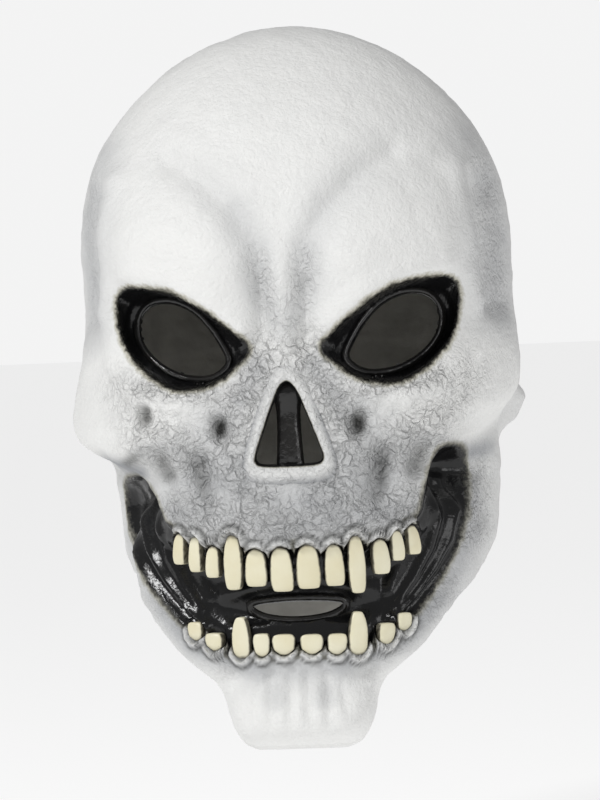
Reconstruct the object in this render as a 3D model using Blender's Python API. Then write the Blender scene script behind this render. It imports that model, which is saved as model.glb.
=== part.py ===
import bpy
import bmesh
import math
import numpy as np

# Full-head latex skull mask. Metres, +Z up, the face looks along -Y.
# "left" and "right" are the wearer's own; the wearer's left is +X.

# Driving dimensions
MASK_WIDTH = 0.185      # cranium, side to side
MASK_DEPTH = 0.235      # forehead to back of head
MASK_HEIGHT = 0.301     # chin edge to crown
SKIN_THICKNESS = 0.0026
LINING_THICKNESS = 0.0022
PIECE_GAP = 0.0004      # clearance left between neighbouring pieces
TOOTH_THICKNESS = 0.0064
SOCKET_DEPTH = 0.014    # how far the eye cups are sunk at their inner corner
NOSE_RIM_HEIGHT = 0.003
BREATHING_SLIT_WIDTH = 0.036
BREATHING_SLIT_HEIGHT = 0.0072
JAW_AXIS_Y = -0.002     # bend line of the jaw, running along X
JAW_AXIS_Z = 0.126
JAW_SPLIT_RISE = 0.684  # slope of the plane parting the jaw from the skull
SEAM_Y = -0.002         # mould seam between face and back of head

# The outlines below are in millimetres, for a mask 185 x 235 x 301 mm whose chin edge is
# at height 0. The finished part's origin is inside the crown, where the head touches it.
SCALE = (MASK_WIDTH / 0.185, MASK_DEPTH / 0.235, MASK_HEIGHT / 0.301)

# height, half width, front reach, back reach (each from the line y = -5 mm)
STATIONS = (
    (-12, 62, 86, 78), (8, 68, 91, 80), (28, 72, 93, 81), (48, 75, 91, 83),
    (68, 78, 92, 88), (90, 80, 98, 96), (113, 82, 100, 106), (137, 86, 98, 116),
    (161, 90, 96, 124), (185, 92, 97, 129), (209, 92.5, 96, 129), (232, 89, 91, 124),
    (253, 80, 79, 111), (271, 66, 63, 91), (286, 48, 45, 65), (296, 27, 25, 35),
    (301, 0.5, 0.5, 0.5),
)

# symmetrical swells (+) and hollows (-): points, radius, height
STROKES = (
    (((22, -102, 190), (40, -96, 198), (62, -80, 206)), 20, 6),      # brow pads
    (((84, -46, 212), (82, -56, 190)), 18, -5),                      # temples
    (((58, -88, 132), (78, -66, 140), (90, -34, 146), (93, -8, 144)), 17, 10),
    (((92, 12, 138), (91, 14, 132)), 9, 7),                          # ear knobs
    (((36, -92, 118), (44, -86, 108)), 14, -4),                      # under the cheek
    (((76, -50, 113), (80, -34, 114)), 9, -5),                       # under the arch
    (((0, -104, 100), (26, -98, 96)), 18, 3),                        # upper jaw
    (((0, -101, 165), (0, -104, 150)), 15, 3),                       # nose bridge
    (((0, -98, 10), (20, -94, 10)), 14, 3),                          # chin
    (((30, -90, 40), (52, -78, 52), (68, -58, 66)), 9, 2),           # jaw ridge
)

# the mouth lining starts close behind the skin and sinks further toward its middle
LINING_SINK = (SKIN_THICKNESS + PIECE_GAP) * 1000 + 0.2
LINING_RECESS = (
    (((63, -58, 108), (63, -64, 96), (58, -70, 80)), 6, -5),
    (((50, -78, 64), (30, -88, 60), (0, -94, 60)), 12, -4),
    (((46, -84, 80), (24, -96, 74), (0, -100, 73)), 9, -4),
    (((46, -80, 51), (24, -92, 46), (0, -96, 46)), 8, -4),
)
SLIT_HEIGHT_ABOVE_CHIN = 57.5

EYE_SOCKET = (
    (15.2, 164), (21, 171), (28, 176.5), (38, 183.8), (48, 188.5), (58, 190.5),
    (66, 190.5), (70.5, 186.5), (70.5, 177), (68, 168), (62.5, 160), (55, 153.5),
    (46.5, 149.5), (36, 149.5), (28, 152.5), (21, 157.5),
)
EYE_HOLE = (
    (27.5, 163), (30, 169), (33, 173.5), (38, 178.5), (44, 181.5), (50, 182.6),
    (55, 181.5), (59.5, 178), (60.5, 173), (58, 168), (53, 162), (48, 157.5),
    (42.5, 155.2), (36.5, 154.6), (31, 156), (28, 159),
)
NOSE_OUTER = (
    (0, 157.5), (5, 155), (10, 146), (14, 136), (18, 124), (19.6, 116), (17, 110.5),
    (9, 108.8), (0, 108.6), (-9, 108.8), (-17, 110.5), (-19.6, 116), (-18, 124),
    (-14, 136), (-10, 146), (-5, 155),
)
NOSE_HOLE = (
    (0, 150.5), (3.4, 147.5), (6.6, 140), (9.6, 132), (12.4, 124.5), (13.6, 119.5),
    (11.6, 117.4), (6, 117), (0, 117), (-6, 117), (-11.6, 117.4), (-13.6, 119.5),
    (-12.4, 124.5), (-9.6, 132), (-6.6, 140), (-3.4, 147.5),
)
# one side of the mouth opening, from the last upper tooth round to the last lower tooth
MOUTH_SIDE = (
    (54, 98), (55.5, 105), (58.5, 111), (61.5, 116.5), (65, 118), (68.5, 115), (70.5, 108),
    (70.5, 95), (68, 84), (61.5, 70.5), (55.5, 61), (50.5, 54),
)
# across, top, tip, width
UPPER_TEETH = (
    (-47.9, 90, 76.5, 6.1), (-41.2, 88.9, 73.4, 5.7), (-33.8, 84.6, 71, 6.1),
    (-25.2, 89.6, 65.8, 7.6), (-15.9, 83.2, 67, 8.7), (-5.6, 83.6, 64.6, 9),
    (5.6, 84.4, 65.4, 9.4), (16.2, 84, 66.1, 7.8), (25.3, 87.3, 62.6, 7),
    (35, 85, 69.9, 7.4), (42, 88.1, 75, 5.7), (48.2, 89.6, 77.1, 6.1),
)
# across, root, tip, width
LOWER_TEETH = (
    (-42.8, 44.5, 52.5, 6.4), (-34.8, 40.4, 48, 7.6), (-23.5, 37, 54.5, 7.4),
    (-15, 37.6, 47.5, 6.6), (-6, 38, 47, 9), (5.6, 38, 46.6, 9),
    (15.8, 37.4, 46.4, 7.8), (24.6, 36.6, 55, 7.8), (35.9, 40.4, 49.5, 7),
    (43.2, 45.4, 53.2, 6.2),
)


def clear_scene():
    for thing in list(bpy.data.objects):
        bpy.data.objects.remove(thing, do_unlink=True)


def paint(name, colour, roughness, metallic=0.0):
    material = bpy.data.materials.new(name)
    material.use_nodes = True
    shader = material.node_tree.nodes["Principled BSDF"]
    shader.inputs["Base Color"].default_value = (*colour, 1)
    shader.inputs["Roughness"].default_value = roughness
    shader.inputs["Metallic"].default_value = metallic
    return material


def smooth_row(values, where):
    # Catmull-Rom through the stations
    last = len(values) - 1
    low = np.clip(np.floor(where).astype(int), 0, last - 1)
    part = where - low
    before = values[np.clip(low - 1, 0, last)]
    here = values[low]
    after = values[np.clip(low + 1, 0, last)]
    beyond = values[np.clip(low + 2, 0, last)]
    straight = here * 2 + (after - before) * part
    square = (before * 2 - here * 5 + after * 4 - beyond) * part ** 2
    cube = (here * 3 - before - after * 3 + beyond) * part ** 3
    return (straight + square + cube) / 2


def base_point(angle, level):
    table = np.array(STATIONS, float)
    height = smooth_row(table[:, 0], level)
    half = np.maximum(smooth_row(table[:, 1], level), 0.3)
    front = np.maximum(smooth_row(table[:, 2], level), 0.3)
    back = np.maximum(smooth_row(table[:, 3], level), 0.3)
    reach = np.where(np.cos(angle) > 0, front, back)
    power = 2.25
    size = (np.abs(np.sin(angle)) / half) ** power + (np.abs(np.cos(angle)) / reach) ** power
    radius = size ** (-1 / power)
    return np.stack([radius * np.sin(angle), -5 - radius * np.cos(angle), height], -1)


def base_normal(angle, level):
    step = 0.002
    across = base_point(angle + step, level) - base_point(angle - step, level)
    upward = base_point(angle, level + step) - base_point(angle, level - step)
    normal = np.cross(across, upward)
    return normal / np.maximum(np.linalg.norm(normal, axis=-1, keepdims=True), 1e-9)


def distance_to_line(spots, line):
    nearest = np.full(spots.shape[:-1], 1e9)
    for start, end in zip(line[:-1], line[1:]):
        start = np.array(start, float)
        run = np.array(end, float) - start
        share = np.clip(((spots - start) @ run) / (run @ run), 0, 1)
        away = np.linalg.norm(spots - start - share[..., None] * run, axis=-1)
        nearest = np.minimum(nearest, away)
    return nearest


def skin_point(angle, level, depth=0.0, extra=()):
    spot = base_point(angle, level)
    mirrored = spot.copy()
    mirrored[..., 0] = np.abs(mirrored[..., 0])
    lift = np.zeros(spot.shape[:-1]) - depth
    for line, radius, height in tuple(STROKES) + tuple(extra):
        lift = lift + height * np.exp(-(distance_to_line(mirrored, line) / radius) ** 2)
    return spot + base_normal(angle, level) * lift[..., None]


def front_y(across, height, depth=0.0, extra=()):
    # the y of the skin's face seen at (across, height) from the front
    across = np.asarray(across, float)
    height = np.asarray(height, float)
    angle = np.arcsin(np.clip(across / 92, -0.95, 0.95))
    level = np.interp(height, [row[0] for row in STATIONS], range(len(STATIONS)))
    step = 0.01
    for _ in range(14):
        spot = skin_point(angle, level, depth, extra)
        by_angle = (skin_point(angle + step, level, depth, extra) - spot) / step
        by_level = (skin_point(angle, level + step, depth, extra) - spot) / step
        miss_x = across - spot[..., 0]
        miss_z = height - spot[..., 2]
        area = by_angle[..., 0] * by_level[..., 2] - by_level[..., 0] * by_angle[..., 2]
        turn = (miss_x * by_level[..., 2] - by_level[..., 0] * miss_z) / area
        climb = (by_angle[..., 0] * miss_z - miss_x * by_angle[..., 2]) / area
        angle = angle + np.clip(turn, -0.2, 0.2)
        level = level + np.clip(climb, -1, 1)
    return skin_point(angle, level, depth, extra)[..., 1]


def metres(spot):
    crown = STATIONS[-1][0] - SKIN_THICKNESS * 1000
    shifted = (spot[0], spot[1], spot[2] - crown)
    return tuple(float(value) * 0.001 * factor for value, factor in zip(shifted, SCALE))


def mesh_object(name, spots, faces, material):
    mesh = bpy.data.meshes.new(name)
    mesh.from_pydata([metres(spot) for spot in spots], [], faces)
    body = bpy.data.objects.new(name, mesh)
    bpy.context.collection.objects.link(body)
    mesh.materials.append(material)
    tool = bmesh.new()
    tool.from_mesh(mesh)
    tool.normal_update()
    bmesh.ops.recalc_face_normals(tool, faces=tool.faces)
    tool.to_mesh(mesh)
    tool.free()
    return body


def smooth_shading(body):
    for polygon in body.data.polygons:
        polygon.use_smooth = True


def skin_shell(name, angles, levels, thickness, material, depth=0.0, extra=(), pole=True):
    # one wall of latex following the head, closed into a solid by its inner face
    around = len(angles)
    closed = abs((angles[-1] - angles[0]) % (2 * math.pi)) < 1e-6
    if closed:
        angles = angles[:-1]
        around = len(angles)
    spots = []
    faces = []
    for layer, sink in enumerate((depth, depth + thickness)):
        grid = np.array([skin_point(np.array(angles), np.full(around, float(level)), sink, extra)
                         for level in levels])
        first = len(spots)
        rows = len(levels)
        spots.extend(grid.reshape(-1, 3))
        for row in range(rows - 1):
            for column in range(around if closed else around - 1):
                beside = (column + 1) % around
                corner = first + row * around
                faces.append([corner + column, corner + beside,
                              corner + around + beside, corner + around + column])
        if pole:
            spots.append(np.array((0, -5, STATIONS[-1][0] - sink)))
            top = first + (rows - 1) * around
            for column in range(around if closed else around - 1):
                faces.append([top + column, top + (column + 1) % around, len(spots) - 1])
    per_layer = len(spots) // 2
    edge = []
    if closed:
        edge = [(column, (column + 1) % around) for column in range(around)]
    else:
        rows = len(levels)
        edge = [(column, column + 1) for column in range(around - 1)]
        edge += [(row * around, (row + 1) * around) for row in range(rows - 1)]
        edge += [(row * around + around - 1, (row + 1) * around + around - 1)
                 for row in range(rows - 1)]
        top = (rows - 1) * around
        if pole:
            edge += [(top, rows * around), (rows * around, top + around - 1)]
        else:
            edge += [(top + column, top + column + 1) for column in range(around - 1)]
    for one, other in edge:
        faces.append([one, other, other + per_layer, one + per_layer])
    body = mesh_object(name, spots, faces, material)
    return body


def prism(name, outline, axis, low, high, gap=0.0):
    # a straight-sided cutter: outline in the plane across the axis, from low to high
    outline = [np.array(point, float) for point in outline]
    if gap:
        outline = grown(outline, gap)
    spots = []
    for reach in (low, high):
        for point in outline:
            if axis == "Y":
                spots.append((point[0], reach, point[1]))
            else:
                spots.append((reach, point[0], point[1]))
    count = len(outline)
    faces = [list(range(count)), list(range(count, 2 * count))]
    for index in range(count):
        beside = (index + 1) % count
        faces.append([index, beside, count + beside, count + index])
    body = mesh_object(name, spots, faces, CUTTER)
    body.hide_render = True
    body.display_type = "WIRE"
    return body


def grown(outline, gap):
    # move every point of a closed outline outward by gap
    points = [np.array(point, float) for point in outline]
    area = 0.0
    for here, there in zip(points, points[1:] + points[:1]):
        area += here[0] * there[1] - there[0] * here[1]
    sign = 1.0 if area > 0 else -1.0
    result = []
    for index, point in enumerate(points):
        before = points[index - 1]
        after = points[(index + 1) % len(points)]
        way_in = (point - before) / np.linalg.norm(point - before)
        way_out = (after - point) / np.linalg.norm(after - point)
        normal_in = np.array([way_in[1], -way_in[0]]) * sign
        normal_out = np.array([way_out[1], -way_out[0]]) * sign
        middle = normal_in + normal_out
        middle = middle / np.linalg.norm(middle)
        result.append(point + middle * gap / max(0.5, float(middle @ normal_in)))
    return result


def cut(body, tool, operation="DIFFERENCE"):
    step = body.modifiers.new("cut", "BOOLEAN")
    step.operation = operation
    step.solver = "EXACT"
    step.object = tool
    return step


def ring_piece(name, loops, material):
    # loops run round an opening; joined in turn, the last one back to the first
    count = len(loops[0])
    spots = [spot for loop in loops for spot in loop]
    faces = []
    for index in range(len(loops)):
        following = (index + 1) % len(loops)
        for step in range(count):
            beside = (step + 1) % count
            faces.append([index * count + step, index * count + beside,
                          following * count + beside, following * count + step])
    body = mesh_object(name, spots, faces, material)
    smooth_shading(body)
    return body


def blended(first, second, share):
    return [np.array(one) * (1 - share) + np.array(other) * share
            for one, other in zip(first, second)]


def at_depth(outline, depth, side=1):
    # lay a front-view outline on the skin, sunk by depth
    points = np.array(outline, float)
    reach = front_y(points[:, 0], points[:, 1])
    return [(side * point[0], y + depth, point[1]) for point, y in zip(points, reach)]


def eye_plane(point):
    return -101.5 + SOCKET_DEPTH * 1000 + (point[0] - 27) * 0.62


def eye_pieces(word, side):
    outer = grown(EYE_SOCKET, -PIECE_GAP * 1000)
    bead_outer = grown(EYE_HOLE, 4.2)
    cup_inner = grown(EYE_HOLE, 4.2 + PIECE_GAP * 1000)
    middle = blended(outer, cup_inner, 0.55)
    lip = at_depth(outer, 0.3, side)
    lip_back = at_depth(outer, 2.7, side)

    def sunk(points, more):
        return [(side * point[0], eye_plane(point) + more, point[1]) for point in points]

    wall = [(side * point[0], (edge[1] + 0.3 + 2 * eye_plane(point)) / 3 + 1.2, point[1])
            for point, edge in zip(middle, at_depth(outer, 0, side))]
    wall_back = [(spot[0], spot[1] + 2.6, spot[2]) for spot in wall]
    ring_piece("eye_cup_" + word, [lip, wall, sunk(cup_inner, 0), sunk(cup_inner, 2.4),
                                   wall_back, lip_back], BLACK)
    crest = blended(bead_outer, EYE_HOLE, 0.5)
    ring_piece("eye_rim_" + word, [
        sunk(bead_outer, 0.2), sunk(blended(bead_outer, EYE_HOLE, 0.2), -1.6),
        sunk(crest, -2.2), sunk(blended(bead_outer, EYE_HOLE, 0.8), -1.4),
        sunk(EYE_HOLE, 0.6), sunk(EYE_HOLE, 2.6), sunk(bead_outer, 2.6)], BLACK)


def nose_pieces():
    outer = grown(NOSE_OUTER, -PIECE_GAP * 1000)
    rise = NOSE_RIM_HEIGHT * 1000
    ring_piece("nose_rim", [
        at_depth(outer, 0), at_depth(blended(outer, NOSE_HOLE, 0.3), -rise),
        at_depth(blended(outer, NOSE_HOLE, 0.7), -rise),
        at_depth(NOSE_HOLE, 0.5), at_depth(NOSE_HOLE, 3.5), at_depth(outer, 2.6)], BONE)
    back = float(front_y(0, 140)) + 3.5 + PIECE_GAP * 1000 + 1.2
    rows = (  # height, half width, front sink, back sink
        (156, 3.2, 1.2, 3.2), (152, 7.2, 0.2, 3.6), (147, 8, -0.4, 4.2), (142, 6.6, 0, 4.2),
        (139, 4.8, 0.8, 4), (128, 4.6, 1, 3.6), (118, 4.8, 1, 3.6), (113, 6, 1.2, 3.4),
        (110, 6, 1.4, 3.4))
    spots = []
    faces = []
    for height, half, near, far in rows:
        lean = (150 - height) * -0.12
        for across, sink in ((-half, (near + far) / 2), (-half * 0.6, near), (half * 0.6, near),
                             (half, (near + far) / 2), (half * 0.6, far), (-half * 0.6, far)):
            spots.append((across, back + lean * 0.4 + sink, height))
    for row in range(len(rows) - 1):
        for step in range(6):
            beside = (step + 1) % 6
            faces.append([row * 6 + step, row * 6 + beside,
                          row * 6 + 6 + beside, row * 6 + 6 + step])
    faces.append(list(range(6)))
    faces.append(list(range(len(rows) * 6 - 6, len(rows) * 6)))
    smooth_shading(mesh_object("nose_septum", spots, faces, BLACK))


def mouth_lip():
    # a rounded bead on the lining, just over the breathing slit
    half = BREATHING_SLIT_WIDTH * 500 + 2
    base = SLIT_HEIGHT_ABOVE_CHIN + BREATHING_SLIT_HEIGHT * 500
    sections = 8
    spots = []
    faces = []
    for step in range(sections + 1):
        across = half * (2 * step / sections - 1)
        thin = 0.55 + 0.45 * math.cos(math.pi / 2 * (across / half))
        for rise, forward in ((0.3, 0), (0.3, 1.6), (1, 2.5), (2, 1.6), (2.3, 0)):
            height = base + rise * thin
            face = float(front_y(across, height, LINING_SINK, LINING_RECESS))
            spots.append((across, face - PIECE_GAP * 1000 - forward * thin, height))
    for step in range(sections):
        for corner in range(5):
            beside = (corner + 1) % 5
            faces.append([step * 5 + corner, step * 5 + beside,
                          step * 5 + 5 + beside, step * 5 + 5 + corner])
    faces.append(list(range(5)))
    faces.append(list(range(sections * 5, sections * 5 + 5)))
    smooth_shading(mesh_object("mouth_lip", spots, faces, BLACK))


def tooth(name, place, upward):
    across, root, tip, width = place
    middle = (root + tip) / 2
    at_root = float(front_y(across, root))
    at_end = float(front_y(across, tip))
    side = float(front_y(across + 0.5, middle)) - float(front_y(across - 0.5, middle))
    turn = math.atan(side)
    tool = bmesh.new()
    bmesh.ops.create_cube(tool, size=2)
    for spot in tool.verts:
        at_tip = (spot.co.z > 0) == upward
        # the tip is narrower and thinner than the root
        x = spot.co.x * width / 2 * (0.84 if at_tip else 1.0)
        y = spot.co.y * TOOTH_THICKNESS * 500 * (0.7 if at_tip else 1.0)
        spot.co = (x, y, tip if at_tip else root)
    bmesh.ops.bevel(tool, geom=tool.edges[:], offset=1.4, segments=1, profile=0.6,
                    affect="EDGES", clamp_overlap=True)
    sink = -1.0
    for spot in tool.verts:
        reach = at_root + (at_end - at_root) * (spot.co.z - root) / (tip - root)
        x = spot.co.x * math.cos(turn) - spot.co.y * math.sin(turn) + across
        y = spot.co.x * math.sin(turn) + spot.co.y * math.cos(turn) + reach + sink
        spot.co = metres((x, y, spot.co.z))
    mesh = bpy.data.meshes.new(name)
    tool.normal_update()
    bmesh.ops.recalc_face_normals(tool, faces=tool.faces)
    tool.to_mesh(mesh)
    tool.free()
    body = bpy.data.objects.new(name, mesh)
    bpy.context.collection.objects.link(body)
    mesh.materials.append(CREAM)
    smooth_shading(body)
    return body


def jaw_plane(y, shift):
    # height of the parting plane at depth y, in outline millimetres
    return JAW_AXIS_Z * 1000 + (y - JAW_AXIS_Y * 1000) * JAW_SPLIT_RISE + shift


def gum_line(teeth, edge, clear):
    # steps in the edge of the skin that clear the root of every tooth, left to right
    points = [(-edge, teeth[0][1] + clear)]
    for one, other in zip(teeth[:-1], teeth[1:]):
        middle = (one[0] + other[0] + (one[3] - other[3]) / 2) / 2
        first, second = one[1] + clear, other[1] + clear
        toward = 1.0 if (first - second) * clear > 0 else -1.0
        if abs(first - second) > 0.3:
            points += [(middle + toward, first), (middle + toward, second)]
    points.append((edge, teeth[-1][1] + clear))
    return points


def mouth_outline():
    clear = PIECE_GAP * 1000
    points = gum_line(UPPER_TEETH, 53.2, clear)
    points += MOUTH_SIDE
    points += gum_line(LOWER_TEETH, 48.6, -clear)[::-1]
    points += [(-x, z) for x, z in MOUTH_SIDE[::-1]]
    return points


def lining_outline():
    # the lining reaches 4.5 mm behind the skin all round the opening
    side = grown(((0, 88), (30, 89), (46, 93)) + MOUTH_SIDE + ((40, 41), (24, 36), (0, 36)), 4.5)
    side = [point for point in side if point[0] > 1]
    return side + [np.array((-point[0], point[1])) for point in side[::-1]]


def build():
    gap = PIECE_GAP * 1000 / 2
    hinge_y = JAW_AXIS_Y * 1000
    seam = SEAM_Y * 1000
    mouth = mouth_outline()
    far = 200
    near = -122

    # side-view outlines (depth, height)
    above_jaw = ((near, jaw_plane(near, gap)), (hinge_y + 60, jaw_plane(hinge_y + 60, gap)),
                 (hinge_y + 60, 340), (near, 340))
    face_side = ((near, jaw_plane(near, gap)), (seam - gap, jaw_plane(seam - gap, gap)),
                 (seam - gap, 340), (near, 340))
    jaw_side = ((near, jaw_plane(near, -gap)), (hinge_y - 1.2, jaw_plane(hinge_y - 1.2, -gap)),
                (-7.5, 97), (-12, 78), (-30, 70), (-52, 58), (-76, 39), (-87, 20), (-91, 0),
                (near, 0))
    back_side = ((seam + gap, 92), (22, 90), (52, 60), (72, 40), (far, 36), (far, 340),
                 (seam + gap, 340))

    for number, place in enumerate(UPPER_TEETH, 1):
        tooth("upper_tooth_%02d" % number, place, False)
    for number, place in enumerate(LOWER_TEETH, 1):
        tooth("lower_tooth_%02d" % number, place, True)
    # skin and lining share one grid of angles and levels, so their facets stay parallel
    angles = [math.radians(5.6 * step) for step in range(-17, 18)]
    levels = np.arange(2.5, 15.8, 0.5)
    face = skin_shell("face_skin", angles, levels, SKIN_THICKNESS * 1000, BONE)
    cut(face, prism("face_region", face_side, "X", -150, 150), "INTERSECT")
    cut(face, prism("eye_cut_left", EYE_SOCKET, "Y", -160, 0))
    cut(face, prism("eye_cut_right", [(-x, z) for x, z in EYE_SOCKET], "Y", -160, 0))
    cut(face, prism("nose_cut", NOSE_OUTER, "Y", -160, 0))
    cut(face, prism("mouth_cut", mouth, "Y", -160, 0))

    angles = [math.radians(80 + 200 * step / 20) for step in range(21)]
    back = skin_shell("back_skin", angles, np.linspace(1.9, 15.7, 19), SKIN_THICKNESS * 1000, BONE)
    cut(back, prism("back_region", back_side, "X", -150, 150), "INTERSECT")

    angles = [math.radians(5.6 * step) for step in range(-17, 18)]
    jaw = skin_shell("jaw_skin", angles, np.arange(0, 7.6, 0.5), SKIN_THICKNESS * 1000, BONE,
                     pole=False)
    cut(jaw, prism("jaw_region", jaw_side, "X", -150, 150), "INTERSECT")
    cut(jaw, prism("mouth_cut_low", mouth, "Y", -160, 0))

    angles = [math.radians(5.6 * step) for step in range(-15, 16)]
    slit = BREATHING_SLIT_WIDTH * 500
    slit_half = BREATHING_SLIT_HEIGHT * 500
    mid = SLIT_HEIGHT_ABOVE_CHIN
    slit_outline = [(-slit, mid), (-slit * 0.7, mid + slit_half), (slit * 0.7, mid + slit_half),
                    (slit, mid), (slit * 0.7, mid - slit_half), (-slit * 0.7, mid - slit_half)]
    for word, region in (("upper", above_jaw), ("lower", None)):
        lining = skin_shell("mouth_lining_" + word, angles, np.arange(1.5, 7.6, 0.5),
                            LINING_THICKNESS * 1000, BLACK, LINING_SINK, LINING_RECESS, False)
        if word == "lower":
            region = ((near, -20), (near, jaw_plane(near, -gap)), (-14, jaw_plane(-14, -gap)),
                      (-14, 84), (-66, 40), (-66, -20))
        cut(lining, prism("lining_region_" + word, region, "X", -150, 150), "INTERSECT")
        cut(lining, prism("lining_mouth_" + word, lining_outline(), "Y", -160, 0), "INTERSECT")
        if word == "lower":
            cut(lining, prism("slit_cut", slit_outline, "Y", -160, 0))

    eye_pieces("left", 1)
    eye_pieces("right", -1)
    nose_pieces()
    mouth_lip()


clear_scene()
CUTTER = paint("cutter", (0.5, 0.5, 0.5), 0.5)
BONE = paint("bone_latex", (0.9, 0.89, 0.86), 0.6)
BLACK = paint("black_latex", (0.02, 0.02, 0.02), 0.25)
CREAM = paint("cream_latex", (0.92, 0.88, 0.7), 0.4)
build()
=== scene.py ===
import bpy
import bmesh
import math
import numpy as np
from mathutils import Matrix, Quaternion, Vector, noise


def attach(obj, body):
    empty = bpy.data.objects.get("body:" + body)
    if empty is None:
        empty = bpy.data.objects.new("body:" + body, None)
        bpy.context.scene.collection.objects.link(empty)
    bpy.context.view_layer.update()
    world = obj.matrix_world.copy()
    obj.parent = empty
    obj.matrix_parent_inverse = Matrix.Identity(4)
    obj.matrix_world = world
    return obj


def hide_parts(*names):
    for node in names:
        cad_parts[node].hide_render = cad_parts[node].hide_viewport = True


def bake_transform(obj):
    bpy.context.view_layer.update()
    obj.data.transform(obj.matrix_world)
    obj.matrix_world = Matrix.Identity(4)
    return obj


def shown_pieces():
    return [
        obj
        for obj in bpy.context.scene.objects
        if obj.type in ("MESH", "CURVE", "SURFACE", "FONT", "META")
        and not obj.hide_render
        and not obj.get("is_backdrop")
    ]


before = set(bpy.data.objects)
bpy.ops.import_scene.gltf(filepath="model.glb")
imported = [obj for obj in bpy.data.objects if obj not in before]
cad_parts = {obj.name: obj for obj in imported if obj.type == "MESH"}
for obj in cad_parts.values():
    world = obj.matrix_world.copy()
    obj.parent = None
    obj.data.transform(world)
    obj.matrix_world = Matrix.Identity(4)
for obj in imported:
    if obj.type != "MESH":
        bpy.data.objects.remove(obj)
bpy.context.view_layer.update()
print("frame loaded")

# All shape values are in millimetres, with the chin edge at height 0; place() turns them into
# the part's own frame, whose origin is inside the crown.
crownHeight = 298.4

# height, half width, front reach and back reach from the line y = -5
stations = np.array([
    (-12, 62, 86, 78), (8, 68, 91, 80), (28, 72, 93, 81), (48, 75, 91, 83),
    (68, 78, 92, 88), (90, 80, 98, 96), (113, 82, 100, 106), (137, 86, 98, 116),
    (161, 90, 96, 124), (185, 92, 97, 129), (209, 92.5, 96, 129), (232, 89, 91, 124),
    (253, 80, 79, 111), (271, 66, 63, 91), (286, 48, 45, 65), (296, 27, 25, 35),
    (301, 0.01, 0.01, 0.01)], float)

eyeSocket = [
    (15.2, 164), (21, 171), (28, 176.5), (38, 183.8), (48, 188.5), (58, 190.5),
    (66, 190.5), (70.5, 186.5), (70.5, 177), (68, 168), (62.5, 160), (55, 153.5),
    (46.5, 149.5), (36, 149.5), (28, 152.5), (21, 157.5)]
eyeHole = [
    (25.5, 160.5), (29, 168), (33.5, 174.5), (39, 180), (46, 183.6), (53, 184.4),
    (58.5, 182.6), (61.8, 178), (62, 171.5), (59.4, 165.5), (54, 160), (47, 156),
    (40, 154.2), (33, 154.2), (28, 156.5)]
noseOuter = [
    (0, 157.5), (5, 155), (10, 146), (14, 136), (18, 124), (19.6, 116), (17, 110.5),
    (9, 108.8), (0, 108.6), (-9, 108.8), (-17, 110.5), (-19.6, 116), (-18, 124),
    (-14, 136), (-10, 146), (-5, 155)]
noseHole = [
    (0, 150.5), (3.4, 147.5), (6.6, 140), (9.6, 132), (12.4, 124.5), (13.6, 119.5),
    (11.6, 117.4), (6, 117), (0, 117), (-6, 117), (-11.6, 117.4), (-13.6, 119.5),
    (-12.4, 124.5), (-9.6, 132), (-6.6, 140), (-3.4, 147.5)]
breathingSlit = [
    (-18.5, 58.2), (-12, 59.5), (0, 60), (12, 59.5), (18.5, 58.2), (14.5, 55.4),
    (8, 53.9), (0, 53.4), (-8, 53.9), (-14.5, 55.4)]
# the mouth's black opening, wearer's-left half: up the upper gums, round and back to the chin
mouthHalf = [
    (0, 84), (11, 82), (20, 84), (30, 85), (39, 86), (45, 89.5), (51.6, 94), (53.4, 99),
    (55, 105), (57.5, 111.5), (61.5, 116.6), (66.3, 117.2), (69.8, 113.5), (71, 106), (70.5, 96),
    (68, 84.5), (61.8, 71.5), (55.5, 61.5), (47.5, 51.5), (41, 45.5), (33, 41), (24, 38.5),
    (12, 38), (0, 38.5)]

# across, top, tip, width
upperTeeth = [
    (-47.9, 90, 76.5, 6.1), (-41.2, 88.9, 73.4, 5.7), (-33.8, 84.6, 71, 6.1),
    (-25.2, 89.6, 65.8, 7.6), (-15.9, 83.2, 67, 8.7), (-5.6, 83.6, 64.6, 9),
    (5.6, 84.4, 65.4, 9.4), (16.2, 84, 66.1, 7.8), (25.3, 87.3, 62.6, 7),
    (35, 85, 69.9, 7.4), (42, 88.1, 75, 5.7), (48.2, 89.6, 77.1, 6.1)]
# across, root, tip, width
lowerTeeth = [
    (-42.8, 44.5, 52.5, 6.4), (-34.8, 40.4, 48, 7.6), (-23.5, 37, 54.5, 7.4),
    (-15, 37.6, 47.5, 6.6), (-6, 38, 47, 9), (5.6, 38, 46.6, 9),
    (15.8, 37.4, 46.4, 7.8), (24.6, 36.6, 55, 7.8), (35.9, 40.4, 49.5, 7),
    (43.2, 45.4, 53.2, 6.2)]

hinge = {"y": -2, "z": 126, "rise": 0.684}


def place(spots):
    spots = np.asarray(spots, float)
    return (spots - np.array([0, 0, crownHeight])) * 0.001


def smoothStep(low, high, value):
    part = np.clip((value - low) / (high - low), 0, 1)
    return part * part * (3 - 2 * part)


def smoothRow(values, where):
    last = len(values) - 1
    low = np.clip(np.floor(where).astype(int), 0, last - 1)
    part = where - low
    before = values[np.clip(low - 1, 0, last)]
    here = values[low]
    after = values[np.clip(low + 1, 0, last)]
    beyond = values[np.clip(low + 2, 0, last)]
    straight = here * 2 + (after - before) * part
    square = (before * 2 - here * 5 + after * 4 - beyond) * part ** 2
    cube = (here * 3 - before - after * 3 + beyond) * part ** 3
    return (straight + square + cube) / 2


def levelAt(height):
    return np.interp(height, stations[:, 0], np.arange(len(stations)))


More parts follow.
